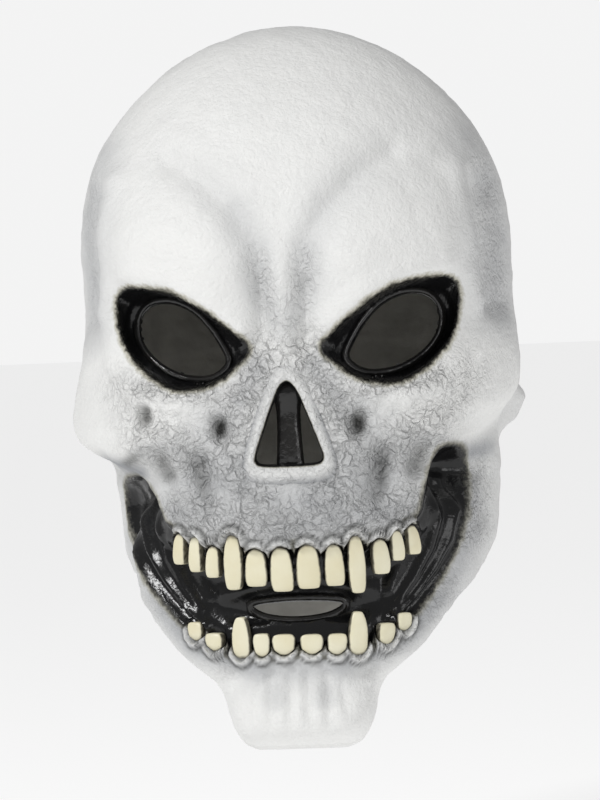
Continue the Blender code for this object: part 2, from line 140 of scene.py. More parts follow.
def baseSpot(angle, level):
    height = smoothRow(stations[:, 0], level)
    half = np.maximum(smoothRow(stations[:, 1], level), 0.01)
    front = np.maximum(smoothRow(stations[:, 2], level), 0.01)
    back = np.maximum(smoothRow(stations[:, 3], level), 0.01)
    last = len(stations) - 1
    dome = np.clip(last - level, 0.0005, 1)      # a round top over the last ring
    capped = level > last - 1
    height = np.where(capped, 301 - 5 * dome ** 2, height)
    half = np.where(capped, stations[-2, 1] * dome, half)
    front = np.where(capped, stations[-2, 2] * dome, front)
    back = np.where(capped, stations[-2, 3] * dome, back)
    reach = np.where(np.cos(angle) > 0, front, back)
    power = 2.25
    size = (np.abs(np.sin(angle)) / half) ** power + (np.abs(np.cos(angle)) / reach) ** power
    radius = size ** (-1 / power)
    return np.stack([radius * np.sin(angle), -5 - radius * np.cos(angle), height], -1)


def baseNormal(angle, level):
    step = 0.01
    level = np.clip(level, step, len(stations) - 1.3)
    across = baseSpot(angle + step, level) - baseSpot(angle - step, level)
    upward = baseSpot(angle, level + step) - baseSpot(angle, level - step)
    normal = np.cross(across, upward)
    return normal / np.maximum(np.linalg.norm(normal, axis=-1, keepdims=True), 1e-9)


def smoothLoop(points, steps=5):
    # a closed outline with rounded corners through the same points
    points = np.array(points, float)
    count = len(points)
    where = np.arange(count * steps) / steps
    low = np.floor(where).astype(int)
    part = (where - low)[:, None]
    before = points[(low - 1) % count]
    here = points[low % count]
    after = points[(low + 1) % count]
    beyond = points[(low + 2) % count]
    return (here * 2 + (after - before) * part
            + (before * 2 - here * 5 + after * 4 - beyond) * part ** 2
            + (here * 3 - before - after * 3 + beyond) * part ** 3) / 2


def lineDistance(spots, line, closed=False):
    # nearest distance to a line, and the nearest point on it
    line = [np.array(point, float) for point in line]
    ends = line[1:] + ([line[0]] if closed else [])
    best = np.full(spots.shape[:-1], 1e9)
    where = np.zeros(spots.shape)
    for start, end in zip(line, ends):
        run = end - start
        share = np.clip(((spots - start) @ run) / (run @ run), 0, 1)
        touch = start + share[..., None] * run
        away = np.linalg.norm(spots - touch, axis=-1)
        nearer = away < best
        best = np.where(nearer, away, best)
        where = np.where(nearer[..., None], touch, where)
    return best, where


def insideDistance(spots, outline):
    # positive inside the outline, negative outside
    away, _ = lineDistance(spots, outline, closed=True)
    inside = np.zeros(spots.shape[:-1], bool)
    for index in range(len(outline)):
        one = outline[index - 1]
        two = outline[index]
        if one[1] == two[1]:
            continue
        between = (one[1] > spots[..., 1]) != (two[1] > spots[..., 1])
        cross = (two[0] - one[0]) * (spots[..., 1] - one[1]) / (two[1] - one[1]) + one[0]
        inside ^= between & (spots[..., 0] < cross)
    return np.where(inside, away, -away)


def grown(outline, gap):
    points = np.array(outline, float)
    before = np.roll(points, 1, axis=0)
    after = np.roll(points, -1, axis=0)
    area = np.sum(points[:, 0] * after[:, 1] - after[:, 0] * points[:, 1])
    along = after - before
    along = along / np.linalg.norm(along, axis=1, keepdims=True)
    outward = np.stack([along[:, 1], -along[:, 0]], -1) * (1 if area > 0 else -1)
    return points + outward * gap


socketLoop = smoothLoop(eyeSocket)
holeLoop = smoothLoop(eyeHole)
ringLoop = grown(holeLoop, 2.4)
noseOuterLoop = smoothLoop(noseOuter)
noseHoleLoop = smoothLoop(noseHole)
slitLoop = smoothLoop(breathingSlit)


def slantCorner(across, height):
    # the mask is not quite even: the wearer's-right mouth corner hangs lower
    slope = 0.055 if across > 0 else 0.08
    return height + slope * across * float(smoothStep(96, 114, height))


mouthNear = [(x, slantCorner(x, z)) for x, z in mouthHalf]
mouthFar = [(-x - 0.2 * max(0, x - 42), slantCorner(-x, z)) for x, z in mouthHalf[-2:0:-1]]
mouthLoop = smoothLoop(mouthNear + mouthFar, 3)

# swells (+) and hollows (-) seen from the front: points, radius above, radius below, height
faceStrokes = [
    ([(30, 202), (44, 208), (60, 208)], 20, 17, 8.0),           # brow pads
    ([(17, 173), (29, 182.5), (45, 192.5), (62, 195.5)], 6, 4, 3.2),  # brow edge over the eye
    ([(8.5, 168), (8.5, 184), (11, 207), (20.5, 223), (32, 234), (46, 244)], 6, 6, -3.8),
    ([(9.5, 172), (10, 192)], 2.5, 2.5, -1.6),
    ([(0, 200), (0, 172)], 6, 6, 1.6),                          # between the brows
    ([(0, 262), (14, 262)], 26, 26, 2.0),                       # forehead
    ([(16, 158), (29, 146), (45, 142.5), (59, 147), (71, 160)], 5.5, 4.5, 3.4),
    ([(74, 168), (76, 180), (72, 192)], 5, 5, 2.6),             # outer eye rim
    ([(71, 236), (74.5, 215), (77, 182)], 5, 5, 3.0),           # temple line
    ([(83, 228), (85, 205), (86, 180)], 7, 7, -5.0),            # temple hollow
    ([(0, 166), (0, 158)], 11, 9, 3.6),                         # nose bridge
    ([(13, 150), (24, 120), (24, 108), (8, 101)], 5, 5, 2.0),   # round the nose
    ([(28.4, 134), (28.6, 130.5)], 3.5, 3.5, -6.0),             # pits under the eyes
    ([(25, 138), (32, 138)], 3, 3, 1.2),
    ([(38, 118), (36.5, 108), (36, 103)], 4.6, 4.6, -5.4),      # hollows over the side teeth
    ([(53, 120), (51, 113)], 5, 4, -5.0),
    ([(44, 128), (46, 118), (46, 104)], 4, 4, 1.8),
    ([(56, 128), (62, 122), (66, 121)], 4, 4, 2.4),             # root of the cheekbone
    ([(0, 96), (22, 96), (40, 97)], 9, 7, 3.0),                 # upper jaw
    ([(0, 12), (16, 10)], 16, 14, 7.5),                         # chin
    ([(0, 32), (26, 30)], 6, 6, -2.5),                          # dip over the chin
    ([(12, 30), (11, 14)], 2.4, 2.4, -2.2),
    ([(3.4, 30), (3.6, 14)], 2.2, 2.2, -2.0),
    ([(17, 26), (17.5, 16)], 2, 2, -1.2),
    ([(30, 26), (37, 22)], 8, 8, -3),
    ([(16, 32), (40, 38), (54, 51), (66, 68), (72, 84), (74, 102)], 4.5, 4.5, 2.6),
    ([(26, 24), (46, 36), (60, 50)], 5, 4, 1.6)]
# the same, but placed in space
bodyStrokes = [
    ([(60, -88, 130), (77, -66, 134), (88, -34, 139), (92, -8, 141)], 25, 9.5, 10.0),
    ([(72, -62, 108), (80, -34, 106), (80, -38, 84)], 17, 16, -6.5),  # side of the jaw
    ([(64, -86, 117), (76, -66, 119), (86, -36, 121), (90, -8, 122)], 4.6, 5, -6.2),
    ([(78, -56, 208), (84, -30, 205)], 18, 18, -3)]
cheekDent = [(-60, 140.5), (-60, 137)]      # one side only
earKnobs = [
    ([(88, 14, 138), (88, 16, 131)], 8, 7, 11),
    ([(-88, 14, 134), (-88, 16, 128)], 8, 7, 6)]
# folds of the mouth lining
liningStrokes = [
    ([(66, 106), (67.4, 94), (64, 82), (57, 70), (48, 59), (39, 51)], 1.7, 1.7, 3.6),
    ([(61, 103), (61, 90), (57, 78), (50, 67), (42, 57)], 1.5, 1.5, 1.9),
    ([(64.5, 112), (65, 104)], 5, 6, -8),
    ([(50, 84), (46, 72), (40, 62)], 2.2, 2.2, 1.6),
    ([(34, 62), (12, 66.5), (0, 67)], 3.2, 3.2, 3.0),
    ([(30, 49), (10, 51), (0, 51)], 2.2, 2.2, 1.6)]


def strokeLift(spots, strokes):
    lift = np.zeros(spots.shape[:-1])
    for line, above, below, height in strokes:
        away, touch = lineDistance(spots, line)
        rise = (spots[..., -1] - touch[..., -1]) / np.maximum(away, 0.01)
        radius = below + (above - below) * (0.5 + 0.5 * np.clip(rise, -1, 1))
        lift += height * np.exp(-(away / radius) ** 2)
    return lift


def gumArcs():
    arcs = []
    for teeth, away in ((upperTeeth, 1), (lowerTeeth, -1)):
        for across, root, tip, width in teeth:
            half = width / 2 + 1.0
            arcs.append([(across - half, root - away * 5), (across - half * 0.86, root - away * 1.6),
                         (across - half * 0.4, root + away * 1.1), (across, root + away * 1.7),
                         (across + half * 0.4, root + away * 1.1),
                         (across + half * 0.86, root - away * 1.6),
                         (across + half, root - away * 5)])
    return arcs


def wrinkleNoise(spots, size, octaves, seed):
    shift = Vector((seed * 7.31, seed * 3.17, seed * 1.93))
    flat = spots.reshape(-1, 3)
    values = [noise.fractal(Vector(spot) / size + shift, 1.0, 2.1, octaves) for spot in flat]
    return np.array(values).reshape(spots.shape[:-1])


def eyePlane(across):
    return -87.5 + (across - 27) * 0.62


skinShape = {
    "leftTilt": 0.05,      # how much the wearer's-left cheekbone stands higher, per millimetre across
    "rightTilt": 0.1,
    "unevenness": 0.0038,
    "jawShift": 3.4,       # the wearer's-left jaw corner, millimetres
    "napeDraw": 0.17,      # share that the nape draws in over the neck
    "gumHeight": 2.6,
    "socketRidge": 1.5,
    "leftPaintEnd": -50,   # how far back the black mouth paint runs
    "rightPaintEnd": -23,
}


def mouthSink(inside):
    # a shallow step behind the teeth, then a deeper middle
    return 3.4 * smoothStep(-0.6, 3.2, inside) + 5.2 * smoothStep(7, 17, inside)


def gumRelief(view, front):
    # raised collars round the teeth, and the dark line beyond each collar: the black paint's edge and
    # painted shadow beside the raised collar
    crest = np.zeros(view.shape[:-1])
    rim = np.zeros(view.shape[:-1])
    near = (np.abs(view[..., 0]) < 58) & (view[..., 1] < 96) & (view[..., 1] > 30) & front
    spots = view[near]
    rise = np.zeros(len(spots))
    dark = np.zeros(len(spots))
    for arc in gumArcs():
        away, _ = lineDistance(spots, arc)
        rise = np.maximum(rise, np.exp(-(away / 1.0) ** 2))
        dark = np.maximum(dark, np.exp(-((away - 1.7) / 0.8) ** 2))
    crest[near] = rise
    rim[near] = dark
    return crest, rim


def skinSurface(angle, level, features=True):
    # the finished outer surface and the paint distances at each point of a grid
    spot = baseSpot(angle, level)
    normal = baseNormal(angle, level)
    mirrored = np.array(spot)
    mirrored[..., 0] = np.abs(mirrored[..., 0])
    seen = mirrored[..., [0, 2]]
    facing = smoothStep(-6, -34, spot[..., 1])
    # cheekbones: the wearer's-right one is bigger and hangs lower
    lower = np.array(mirrored)
    tilt = np.where(spot[..., 0] > 0, skinShape["leftTilt"], skinShape["rightTilt"])
    lower[..., 2] -= tilt * spot[..., 0]
    uneven = 1 - skinShape["unevenness"] * spot[..., 0]
    lift = strokeLift(lower, bodyStrokes) * uneven + strokeLift(seen, faceStrokes) * facing
    lift += strokeLift(spot, earKnobs)
    wider = smoothStep(-60, -20, spot[..., 1]) * smoothStep(128, 108, spot[..., 2])
    wider = wider * smoothStep(66, 84, spot[..., 2])
    spot[..., 0] += skinShape["jawShift"] * np.clip(spot[..., 0] / 80, 0, 1) * wider
    nape = smoothStep(4, 46, spot[..., 1]) * smoothStep(104, 62, spot[..., 2])
    spot[..., 0] *= 1 - skinShape["napeDraw"] * nape
    data = {}
    if not features:
        unpainted = np.full(spot.shape[:-1], -50.0)
        data["mouthEdge"] = unpainted
        data["socketEdge"] = unpainted
        return spot + normal * lift[..., None], data
    spot = spot + normal * lift[..., None]
    view = np.stack([spot[..., 0], spot[..., 2]], -1)
    viewSide = np.stack([np.abs(spot[..., 0]), spot[..., 2]], -1)
    front = spot[..., 1] < -8
    mouthIn = np.where(front, insideDistance(view, mouthLoop), -50)
    paintEnd = np.where(spot[..., 0] > 0, skinShape["leftPaintEnd"], skinShape["rightPaintEnd"])
    mouthIn = mouthIn - 14 * smoothStep(0, 20, spot[..., 1] - paintEnd)
    socketIn = np.where(front, insideDistance(viewSide, socketLoop), -50)

    folds = strokeLift(viewSide, liningStrokes) * smoothStep(-1, 2.5, mouthIn)
    gums, gumDark = gumRelief(view, front)
    rise = folds + skinShape["gumHeight"] * gums - mouthSink(mouthIn)
    spot = spot + normal * rise[..., None]

    # eye sockets: the skin dips to a slanted plane that carries the bead
    outward = -insideDistance(viewSide, ringLoop)
    share = np.clip(socketIn / np.maximum(socketIn + np.maximum(outward, 0), 1e-6), 0, 1)
    share = np.where(socketIn > 0, share, 0)
    curve = 1 - (1 - share) ** 1.8
    target = eyePlane(np.abs(spot[..., 0]))
    spot[..., 1] += np.where(socketIn > 0, (target - spot[..., 1]) * curve, 0)
    ridge = np.exp(-((outward - 5.0) / 1.3) ** 2) * smoothStep(1, 4, socketIn)
    ridge += 0.7 * np.exp(-((outward - 1.2) / 0.8) ** 2) * smoothStep(1, 4, socketIn)
    spot[..., 1] -= skinShape["socketRidge"] * ridge * (outward > 0)
    data["gumDark"] = gumDark
    data["gumCrest"] = gums
    data["mouthEdge"] = mouthIn - 4.6 * gums
    data["socketEdge"] = socketIn
    return spot, data


def surfaceY(across, height):
    # depth of the outer skin under a front-view point, without mouth or sockets
    across = np.asarray(across, float)
    height = np.asarray(height, float)
    angle = np.arcsin(np.clip(across / 92, -0.95, 0.95))
    level = levelAt(height)
    step = 0.01
    for _ in range(12):
        spot, _ = skinSurface(angle, level, False)
        byAngle = (skinSurface(angle + step, level, False)[0] - spot) / step
        byLevel = (skinSurface(angle, level + step, False)[0] - spot) / step
        missX = across - spot[..., 0]
        missZ = height - spot[..., 2]
        area = byAngle[..., 0] * byLevel[..., 2] - byLevel[..., 0] * byAngle[..., 2]
        turn = (missX * byLevel[..., 2] - byLevel[..., 0] * missZ) / area
        climb = (byAngle[..., 0] * missZ - missX * byAngle[..., 2]) / area
        angle = angle + np.clip(turn, -0.2, 0.2)
        level = level + np.clip(climb, -1, 1)
    return skinSurface(angle, level, False)[0][..., 1]


# paints and latex finishes


def nodeMaker(tree):
    def make(kind, **settings):
        node = tree.nodes.new(kind)
        for key, value in settings.items():
            setattr(node, key, value)
        return node
    return make


def linkAll(tree, pairs):
    for source, target in pairs:
        tree.links.new(source, target)


def ramp(make, points):
    node = make("ShaderNodeValToRGB")
    while len(node.color_ramp.elements) < len(points):
        node.color_ramp.elements.new(0.5)
    for element, (position, colour) in zip(node.color_ramp.elements, points):
        element.position = position
        element.color = (*colour, 1)
    return node


def wrinkleGroup():
    # latex surface relief: pores and pebbles, leathery creases, and the painted shade darkening each
    # crease
    tree = bpy.data.node_groups.new("latexRelief", "ShaderNodeTree")
    tree.interface.new_socket("Wrinkle", in_out="INPUT", socket_type="NodeSocketFloat")
    tree.interface.new_socket("Height", in_out="OUTPUT", socket_type="NodeSocketFloat")
    tree.interface.new_socket("CreaseShade", in_out="OUTPUT", socket_type="NodeSocketFloat")
    tree.interface.new_socket("Cloud", in_out="OUTPUT", socket_type="NodeSocketFloat")
    make = nodeMaker(tree)
    enter = make("NodeGroupInput")
    leave = make("NodeGroupOutput")
    coord = make("ShaderNodeTexCoord")
    pairs = []

    def grain(scale, detail, roughness, distortion=0.0):
        node = make("ShaderNodeTexNoise")
        node.inputs["Scale"].default_value = scale
        node.inputs["Detail"].default_value = detail
        node.inputs["Roughness"].default_value = roughness
        node.inputs["Distortion"].default_value = distortion
        pairs.append((coord.outputs["Object"], node.inputs["Vector"]))
        return node

    def creases(scale, detail, warp):
        # thin raised lines where the grain folds over; turned down, they are creases
        node = grain(scale, detail, 0.58, warp)
        node.noise_type = "RIDGED_MULTIFRACTAL"
        node.inputs["Offset"].default_value = 0.95
        node.inputs["Gain"].default_value = 1.6
        node.normalize = False
        return node

    bend = grain(170, 2, 0.5)
    push = make("ShaderNodeVectorMath", operation="MULTIPLY_ADD")
    push.inputs[1].default_value = (0.01, 0.01, 0.01)
    cells = make("ShaderNodeTexVoronoi", feature="DISTANCE_TO_EDGE")
    cells.inputs["Scale"].default_value = 215
    facets = make("ShaderNodeMapRange")
    facets.inputs["From Max"].default_value = 0.22
    facets.inputs["To Max"].default_value = 0.75
    facetAmount = make("ShaderNodeMath", operation="MULTIPLY_ADD")
    pores = grain(950, 3, 0.6)
    pebbles = grain(500, 4, 0.6, 0.3)
    fine = creases(150, 3, 0.3)
    broad = creases(66, 3, 0.4)
    cloud = grain(34, 5, 0.55)
    both = make("ShaderNodeMath", operation="MULTIPLY_ADD")
    both.inputs[1].default_value = 0.6
    dark = make("ShaderNodeMapRange")
    dark.inputs["From Min"].default_value = 1.2
    dark.inputs["From Max"].default_value = 2.3
    darkAmount = make("ShaderNodeMath", operation="MULTIPLY")
    crack = make("ShaderNodeMath", operation="MULTIPLY")
    turned = make("ShaderNodeMath", operation="MULTIPLY_ADD")
    turned.inputs[1].default_value = -0.6
    grit = make("ShaderNodeMath", operation="MULTIPLY_ADD")
    grit.inputs[1].default_value = 0.16
    linkAll(tree, pairs + [
        (fine.outputs[0], both.inputs[0]),
        (broad.outputs[0], both.inputs[2]),
        (both.outputs[0], crack.inputs[0]),
        (enter.outputs["Wrinkle"], crack.inputs[1]),
        (crack.outputs[0], turned.inputs[0]),
        (pores.outputs[0], grit.inputs[0]),
        (pebbles.outputs[0], grit.inputs[2]),
        (bend.outputs["Color"], push.inputs[0]),
        (coord.outputs["Object"], push.inputs[2]),
        (push.outputs[0], cells.inputs["Vector"]),
        (cells.outputs["Distance"], facets.inputs["Value"]),
        (facets.outputs[0], facetAmount.inputs[0]),
        (enter.outputs["Wrinkle"], facetAmount.inputs[1]),
        (grit.outputs[0], facetAmount.inputs[2]),
        (facetAmount.outputs[0], turned.inputs[2]),
        (both.outputs[0], dark.inputs["Value"]),
        (dark.outputs[0], darkAmount.inputs[0]),
        (enter.outputs["Wrinkle"], darkAmount.inputs[1]),
        (turned.outputs[0], leave.inputs["Height"]),
        (darkAmount.outputs[0], leave.inputs["CreaseShade"]),
        (cloud.outputs[0], leave.inputs["Cloud"])])
    return tree


reliefGroup = wrinkleGroup()

# the crease grey is painted shade in the creases; the grey is partly an airbrushed wash, partly
# painted shade
boneLook = {
    "white": (0.88, 0.88, 0.865),
    "grey": (0.34, 0.35, 0.37),
    "creaseShadeGrey": (0.15, 0.16, 0.165),
    "brown": (0.10, 0.092, 0.062),
    "black": (0.008, 0.008, 0.0085),
    "roughness": 0.5,
    "blackRoughness": 0.1,
}


def paintedLatex():
    material = bpy.data.materials.new("paintedLatex")
    material.use_nodes = True
    tree = material.node_tree
    make = nodeMaker(tree)
    shader = tree.nodes["Principled BSDF"]
    relief = make("ShaderNodeGroup", node_tree=reliefGroup)
    wrinkle = make("ShaderNodeAttribute", attribute_name="wrinkle")
    washAndShade = make("ShaderNodeAttribute", attribute_name="washAndShade")
    edge = make("ShaderNodeAttribute", attribute_name="paintEdge")
    pit = make("ShaderNodeAttribute", attribute_name="pit")
    linkAll(tree, [(wrinkle.outputs["Fac"], relief.inputs["Wrinkle"])])

    # grey over white: partly an airbrushed wash, partly painted shade in the hollows and toward the
    # back
    cloudMap = make("ShaderNodeMapRange")
    cloudMap.inputs["From Min"].default_value = 0.3
    cloudMap.inputs["From Max"].default_value = 0.7
    cloudMap.inputs["To Min"].default_value = 0.75
    cloudMap.inputs["To Max"].default_value = 1.2
    washShadeAmount = make("ShaderNodeMath", operation="MULTIPLY", use_clamp=True)
    washShadeMix = make("ShaderNodeMix", data_type="RGBA")
    washShadeMix.inputs["A"].default_value = (*boneLook["white"], 1)
    washShadeMix.inputs["B"].default_value = (*boneLook["grey"], 1)
    # painted shade: a darker grey down in the creases
    creaseMap = make("ShaderNodeMapRange")
    creaseMap.inputs["From Min"].default_value = 0.1
    creaseMap.inputs["From Max"].default_value = 1.0
    creaseMap.inputs["To Max"].default_value = 0.14
    creaseMix = make("ShaderNodeMix", data_type="RGBA")
    creaseMix.inputs["B"].default_value = (*boneLook["creaseShadeGrey"], 1)
    # dark pits: partly dark airbrush, partly painted shade in the dents, and painted shadow beyond
    # the gum collars
    pitMix = make("ShaderNodeMix", data_type="RGBA")
    pitMix.inputs["B"].default_value = (0.05, 0.05, 0.045, 1)
    linkAll(tree, [
        (relief.outputs["Cloud"], cloudMap.inputs["Value"]),
        (cloudMap.outputs[0], washShadeAmount.inputs[0]),
        (washAndShade.outputs["Fac"], washShadeAmount.inputs[1]),
        (washShadeAmount.outputs[0], washShadeMix.inputs["Factor"]),
        (relief.outputs["CreaseShade"], creaseMap.inputs["Value"]),
        (creaseMap.outputs[0], creaseMix.inputs["Factor"]),
        (washShadeMix.outputs["Result"], creaseMix.inputs["A"]),
        (pit.outputs["Fac"], pitMix.inputs["Factor"]),
        (creaseMix.outputs["Result"], pitMix.inputs["A"])])

    # sprayed black edge: distance in millimetres plus a speckle
    coord = make("ShaderNodeTexCoord")
    speckle = make("ShaderNodeTexNoise")
    speckle.inputs["Scale"].default_value = 420
    speckle.inputs["Detail"].default_value = 4
    speckle.inputs["Roughness"].default_value = 0.7
    drift = make("ShaderNodeTexNoise")
    drift.inputs["Scale"].default_value = 90
    drift.inputs["Detail"].default_value = 2
    speckled = make("ShaderNodeMath", operation="MULTIPLY_ADD")
    speckled.inputs[1].default_value = 3.4
    drifted = make("ShaderNodeMath", operation="MULTIPLY_ADD")
    drifted.inputs[1].default_value = 2.4
    spread = make("ShaderNodeMapRange")
    spread.inputs["From Min"].default_value = 0.3
    spread.inputs["From Max"].default_value = 5.2
    tint = ramp(make, [(0.0, (1, 1, 1)), (0.3, (0.62, 0.60, 0.52)), (0.55, boneLook["brown"]),
                       (0.78, boneLook["black"])])
    blackMask = make("ShaderNodeMapRange")
    blackMask.inputs["From Min"].default_value = 0.35
    blackMask.inputs["From Max"].default_value = 0.7
    coverMask = make("ShaderNodeMapRange")
    coverMask.inputs["From Min"].default_value = 0.3
    coverMask.inputs["From Max"].default_value = 0.62
    under = make("ShaderNodeMix", data_type="RGBA", blend_type="MULTIPLY")
    under.inputs["Factor"].default_value = 1
    cover = make("ShaderNodeMix", data_type="RGBA")
    cover.inputs["B"].default_value = (*boneLook["black"], 1)
    linkAll(tree, [
        (coord.outputs["Object"], speckle.inputs["Vector"]),
        (coord.outputs["Object"], drift.inputs["Vector"]),
        (speckle.outputs[0], speckled.inputs[0]),
        (edge.outputs["Fac"], speckled.inputs[2]),
        (drift.outputs[0], drifted.inputs[0]),
        (speckled.outputs[0], drifted.inputs[2]),
        (drifted.outputs[0], spread.inputs["Value"]),
        (spread.outputs[0], tint.inputs["Fac"]),
        (spread.outputs[0], blackMask.inputs["Value"]),
        (spread.outputs[0], coverMask.inputs["Value"]),
        (pitMix.outputs["Result"], under.inputs["A"]),
        (tint.outputs["Color"], under.inputs["B"]),
        (under.outputs["Result"], cover.inputs["A"]),
        (coverMask.outputs[0], cover.inputs["Factor"]),
        (cover.outputs["Result"], shader.inputs["Base Color"])])

    rough = make("ShaderNodeMapRange")
    rough.inputs["To Min"].default_value = boneLook["roughness"]
    rough.inputs["To Max"].default_value = boneLook["blackRoughness"]
    roughCloud = make("ShaderNodeMath", operation="MULTIPLY_ADD")
    roughCloud.inputs[1].default_value = 0.08
    bump = make("ShaderNodeBump")
    bump.inputs["Distance"].default_value = 0.0019
    bumpAmount = make("ShaderNodeMapRange")
    bumpAmount.inputs["To Max"].default_value = 0.1
    bumpOpen = make("ShaderNodeMapRange")
    bumpOpen.inputs["From Min"].default_value = 0.2
    bumpOpen.inputs["From Max"].default_value = 0.85
    bumpOpen.inputs["To Min"].default_value = 0.42
    bumpOpen.inputs["To Max"].default_value = 1.0
    linkAll(tree, [
        (wrinkle.outputs["Fac"], bumpOpen.inputs["Value"]),
        (bumpOpen.outputs[0], bumpAmount.inputs["To Min"]),
        (blackMask.outputs[0], bumpAmount.inputs["Value"]),
        (bumpAmount.outputs[0], bump.inputs["Strength"]),
        (blackMask.outputs[0], rough.inputs["Value"]),
        (relief.outputs["Cloud"], roughCloud.inputs[0]),
        (rough.outputs[0], roughCloud.inputs[2]),
        (roughCloud.outputs[0], shader.inputs["Roughness"]),
        (relief.outputs["Height"], bump.inputs["Height"]),
        (bump.outputs["Normal"], shader.inputs["Normal"])])
    shader.inputs["Specular IOR Level"].default_value = 0.4
    return material


def simpleLatex(name, colour, second, roughness, bumpDepth, scale=300):
    material = bpy.data.materials.new(name)
    material.use_nodes = True
    tree = material.node_tree
    make = nodeMaker(tree)
    shader = tree.nodes["Principled BSDF"]
    coord = make("ShaderNodeTexCoord")
    cloud = make("ShaderNodeTexNoise")
    cloud.inputs["Scale"].default_value = scale / 4
    cloud.inputs["Detail"].default_value = 5
    fine = make("ShaderNodeTexNoise")
    fine.inputs["Scale"].default_value = scale
    fine.inputs["Detail"].default_value = 4
    tones = make("ShaderNodeMapRange")
    tones.inputs["From Min"].default_value = 0.35
    tones.inputs["From Max"].default_value = 0.7
    mix = make("ShaderNodeMix", data_type="RGBA")
    mix.inputs["A"].default_value = (*colour, 1)
    mix.inputs["B"].default_value = (*second, 1)
    rough = make("ShaderNodeMath", operation="MULTIPLY_ADD")
    rough.inputs[1].default_value = 0.16
    rough.inputs[2].default_value = roughness
    bump = make("ShaderNodeBump")
    bump.inputs["Strength"].default_value = 0.5
    bump.inputs["Distance"].default_value = bumpDepth
    linkAll(tree, [
        (coord.outputs["Object"], cloud.inputs["Vector"]),
        (coord.outputs["Object"], fine.inputs["Vector"]),
        (cloud.outputs[0], tones.inputs["Value"]),
        (tones.outputs[0], mix.inputs["Factor"]),
        (mix.outputs["Result"], shader.inputs["Base Color"]),
        (cloud.outputs[0], rough.inputs[0]),
        (rough.outputs[0], shader.inputs["Roughness"]),
        (fine.outputs[0], bump.inputs["Height"]),
        (bump.outputs["Normal"], shader.inputs["Normal"])])
    return material


def stainTooth(material):
    # black paint caught round a tooth's sides and root
    tree = material.node_tree
    make = nodeMaker(tree)
    shader = tree.nodes["Principled BSDF"]
    plain = shader.inputs["Base Color"].links[0].from_socket
    stain = make("ShaderNodeAttribute", attribute_name="stain")
    coord = make("ShaderNodeTexCoord")
    speckle = make("ShaderNodeTexNoise")
    speckle.inputs["Scale"].default_value = 500
    speckle.inputs["Detail"].default_value = 3
    added = make("ShaderNodeMath", operation="MULTIPLY_ADD")
    added.inputs[1].default_value = 0.5
    edge = make("ShaderNodeMapRange")
    edge.inputs["From Min"].default_value = 0.75
    edge.inputs["From Max"].default_value = 1.25
    mix = make("ShaderNodeMix", data_type="RGBA")
    mix.inputs["B"].default_value = (0.05, 0.043, 0.03, 1)
    linkAll(tree, [
        (coord.outputs["Object"], speckle.inputs["Vector"]),
        (speckle.outputs[0], added.inputs[0]),
        (stain.outputs["Fac"], added.inputs[2]),
        (added.outputs[0], edge.inputs["Value"]),
        (edge.outputs[0], mix.inputs["Factor"]),
        (plain, mix.inputs["A"]),
        (mix.outputs["Result"], shader.inputs["Base Color"])])


skinPaint = paintedLatex()
insidePaint = simpleLatex("latexInside", (0.33, 0.32, 0.295), (0.24, 0.235, 0.215), 0.6, 0.0006)
blackPaint = simpleLatex("blackLatex", (0.006, 0.006, 0.0065), (0.016, 0.015, 0.014), 0.04, 0.0008)
toothPaint = simpleLatex("creamTooth", (0.84, 0.80, 0.61), (0.78, 0.72, 0.50), 0.3, 0.0004, 260)
stainTooth(toothPaint)
print("materials ready")


# the mask's pieces


def meshPiece(name, spots, faces, material):
    mesh = bpy.data.meshes.new(name)
    mesh.from_pydata([tuple(spot) for spot in place(spots)], [], faces)
    mesh.materials.append(material)
    piece = bpy.data.objects.new(name, mesh)
    bpy.context.collection.objects.link(piece)
    for polygon in mesh.polygons:
        polygon.use_smooth = True
    return piece


def applyModifiers(piece):
    bpy.ops.object.select_all(action="DESELECT")
    bpy.context.view_layer.objects.active = piece
    piece.select_set(True)
    for modifier in list(piece.modifiers):
        bpy.ops.object.modifier_apply(modifier=modifier.name)


def addAttribute(piece, name, values):
    attribute = piece.data.attributes.new(name, "FLOAT", "POINT")
    attribute.data.foreach_set("value", np.asarray(values, np.float32).ravel())


def snapToLoop(spots, loop, reach):
    # slide grid points near an opening's edge onto it, so the cut edge is clean
    view = spots[..., [0, 2]]
    away, touch = lineDistance(view, loop, closed=True)
    close = (away < reach) & (spots[..., 1] < -20)
    spots[..., 0] = np.where(close, touch[..., 0], spots[..., 0])
    spots[..., 2] = np.where(close, touch[..., 1], spots[..., 2])


skinBuild = {
    "columns": 200,        # across the face, ear to ear
    "rows": 232,           # hem to crown
    "rowPacking": [(0.30, 0.24, 1.5)],
    "thickness": 0.0026,
    "wrinkleDepth": 0.8,   # millimetres
}

# the hem of the jaw: angle from straight ahead in degrees, height
hemLine = [(0, 0.4), (13.4, 0.6), (17, 2.6), (19, 6.5), (20.8, 12), (22.6, 18.5), (26, 28),
           (31, 34), (38, 40.5), (45, 51), (54, 57.5), (65, 63.5), (79, 70), (87, 79)]


def unevenSteps(count, centres):
    # grid steps packed closer round the given centres: (position, half width, weight)
    fine = np.linspace(0, 1, 2000)
    density = np.ones(2000)
    for centre, half, weight in centres:
        density += weight * np.exp(-((fine - centre) / half) ** 2)
    total = np.concatenate([[0], np.cumsum((density[1:] + density[:-1]) / 2)])
    return np.interp(np.linspace(0, total[-1], count), total, fine)


def paintAttributes(piece, data, washAndShade, wrinkle, pit):
    addAttribute(piece, "paintEdge", np.maximum(data["mouthEdge"], data["socketEdge"] + 0.4))
    addAttribute(piece, "washAndShade", washAndShade)
    addAttribute(piece, "wrinkle", wrinkle)
    addAttribute(piece, "pit", pit)


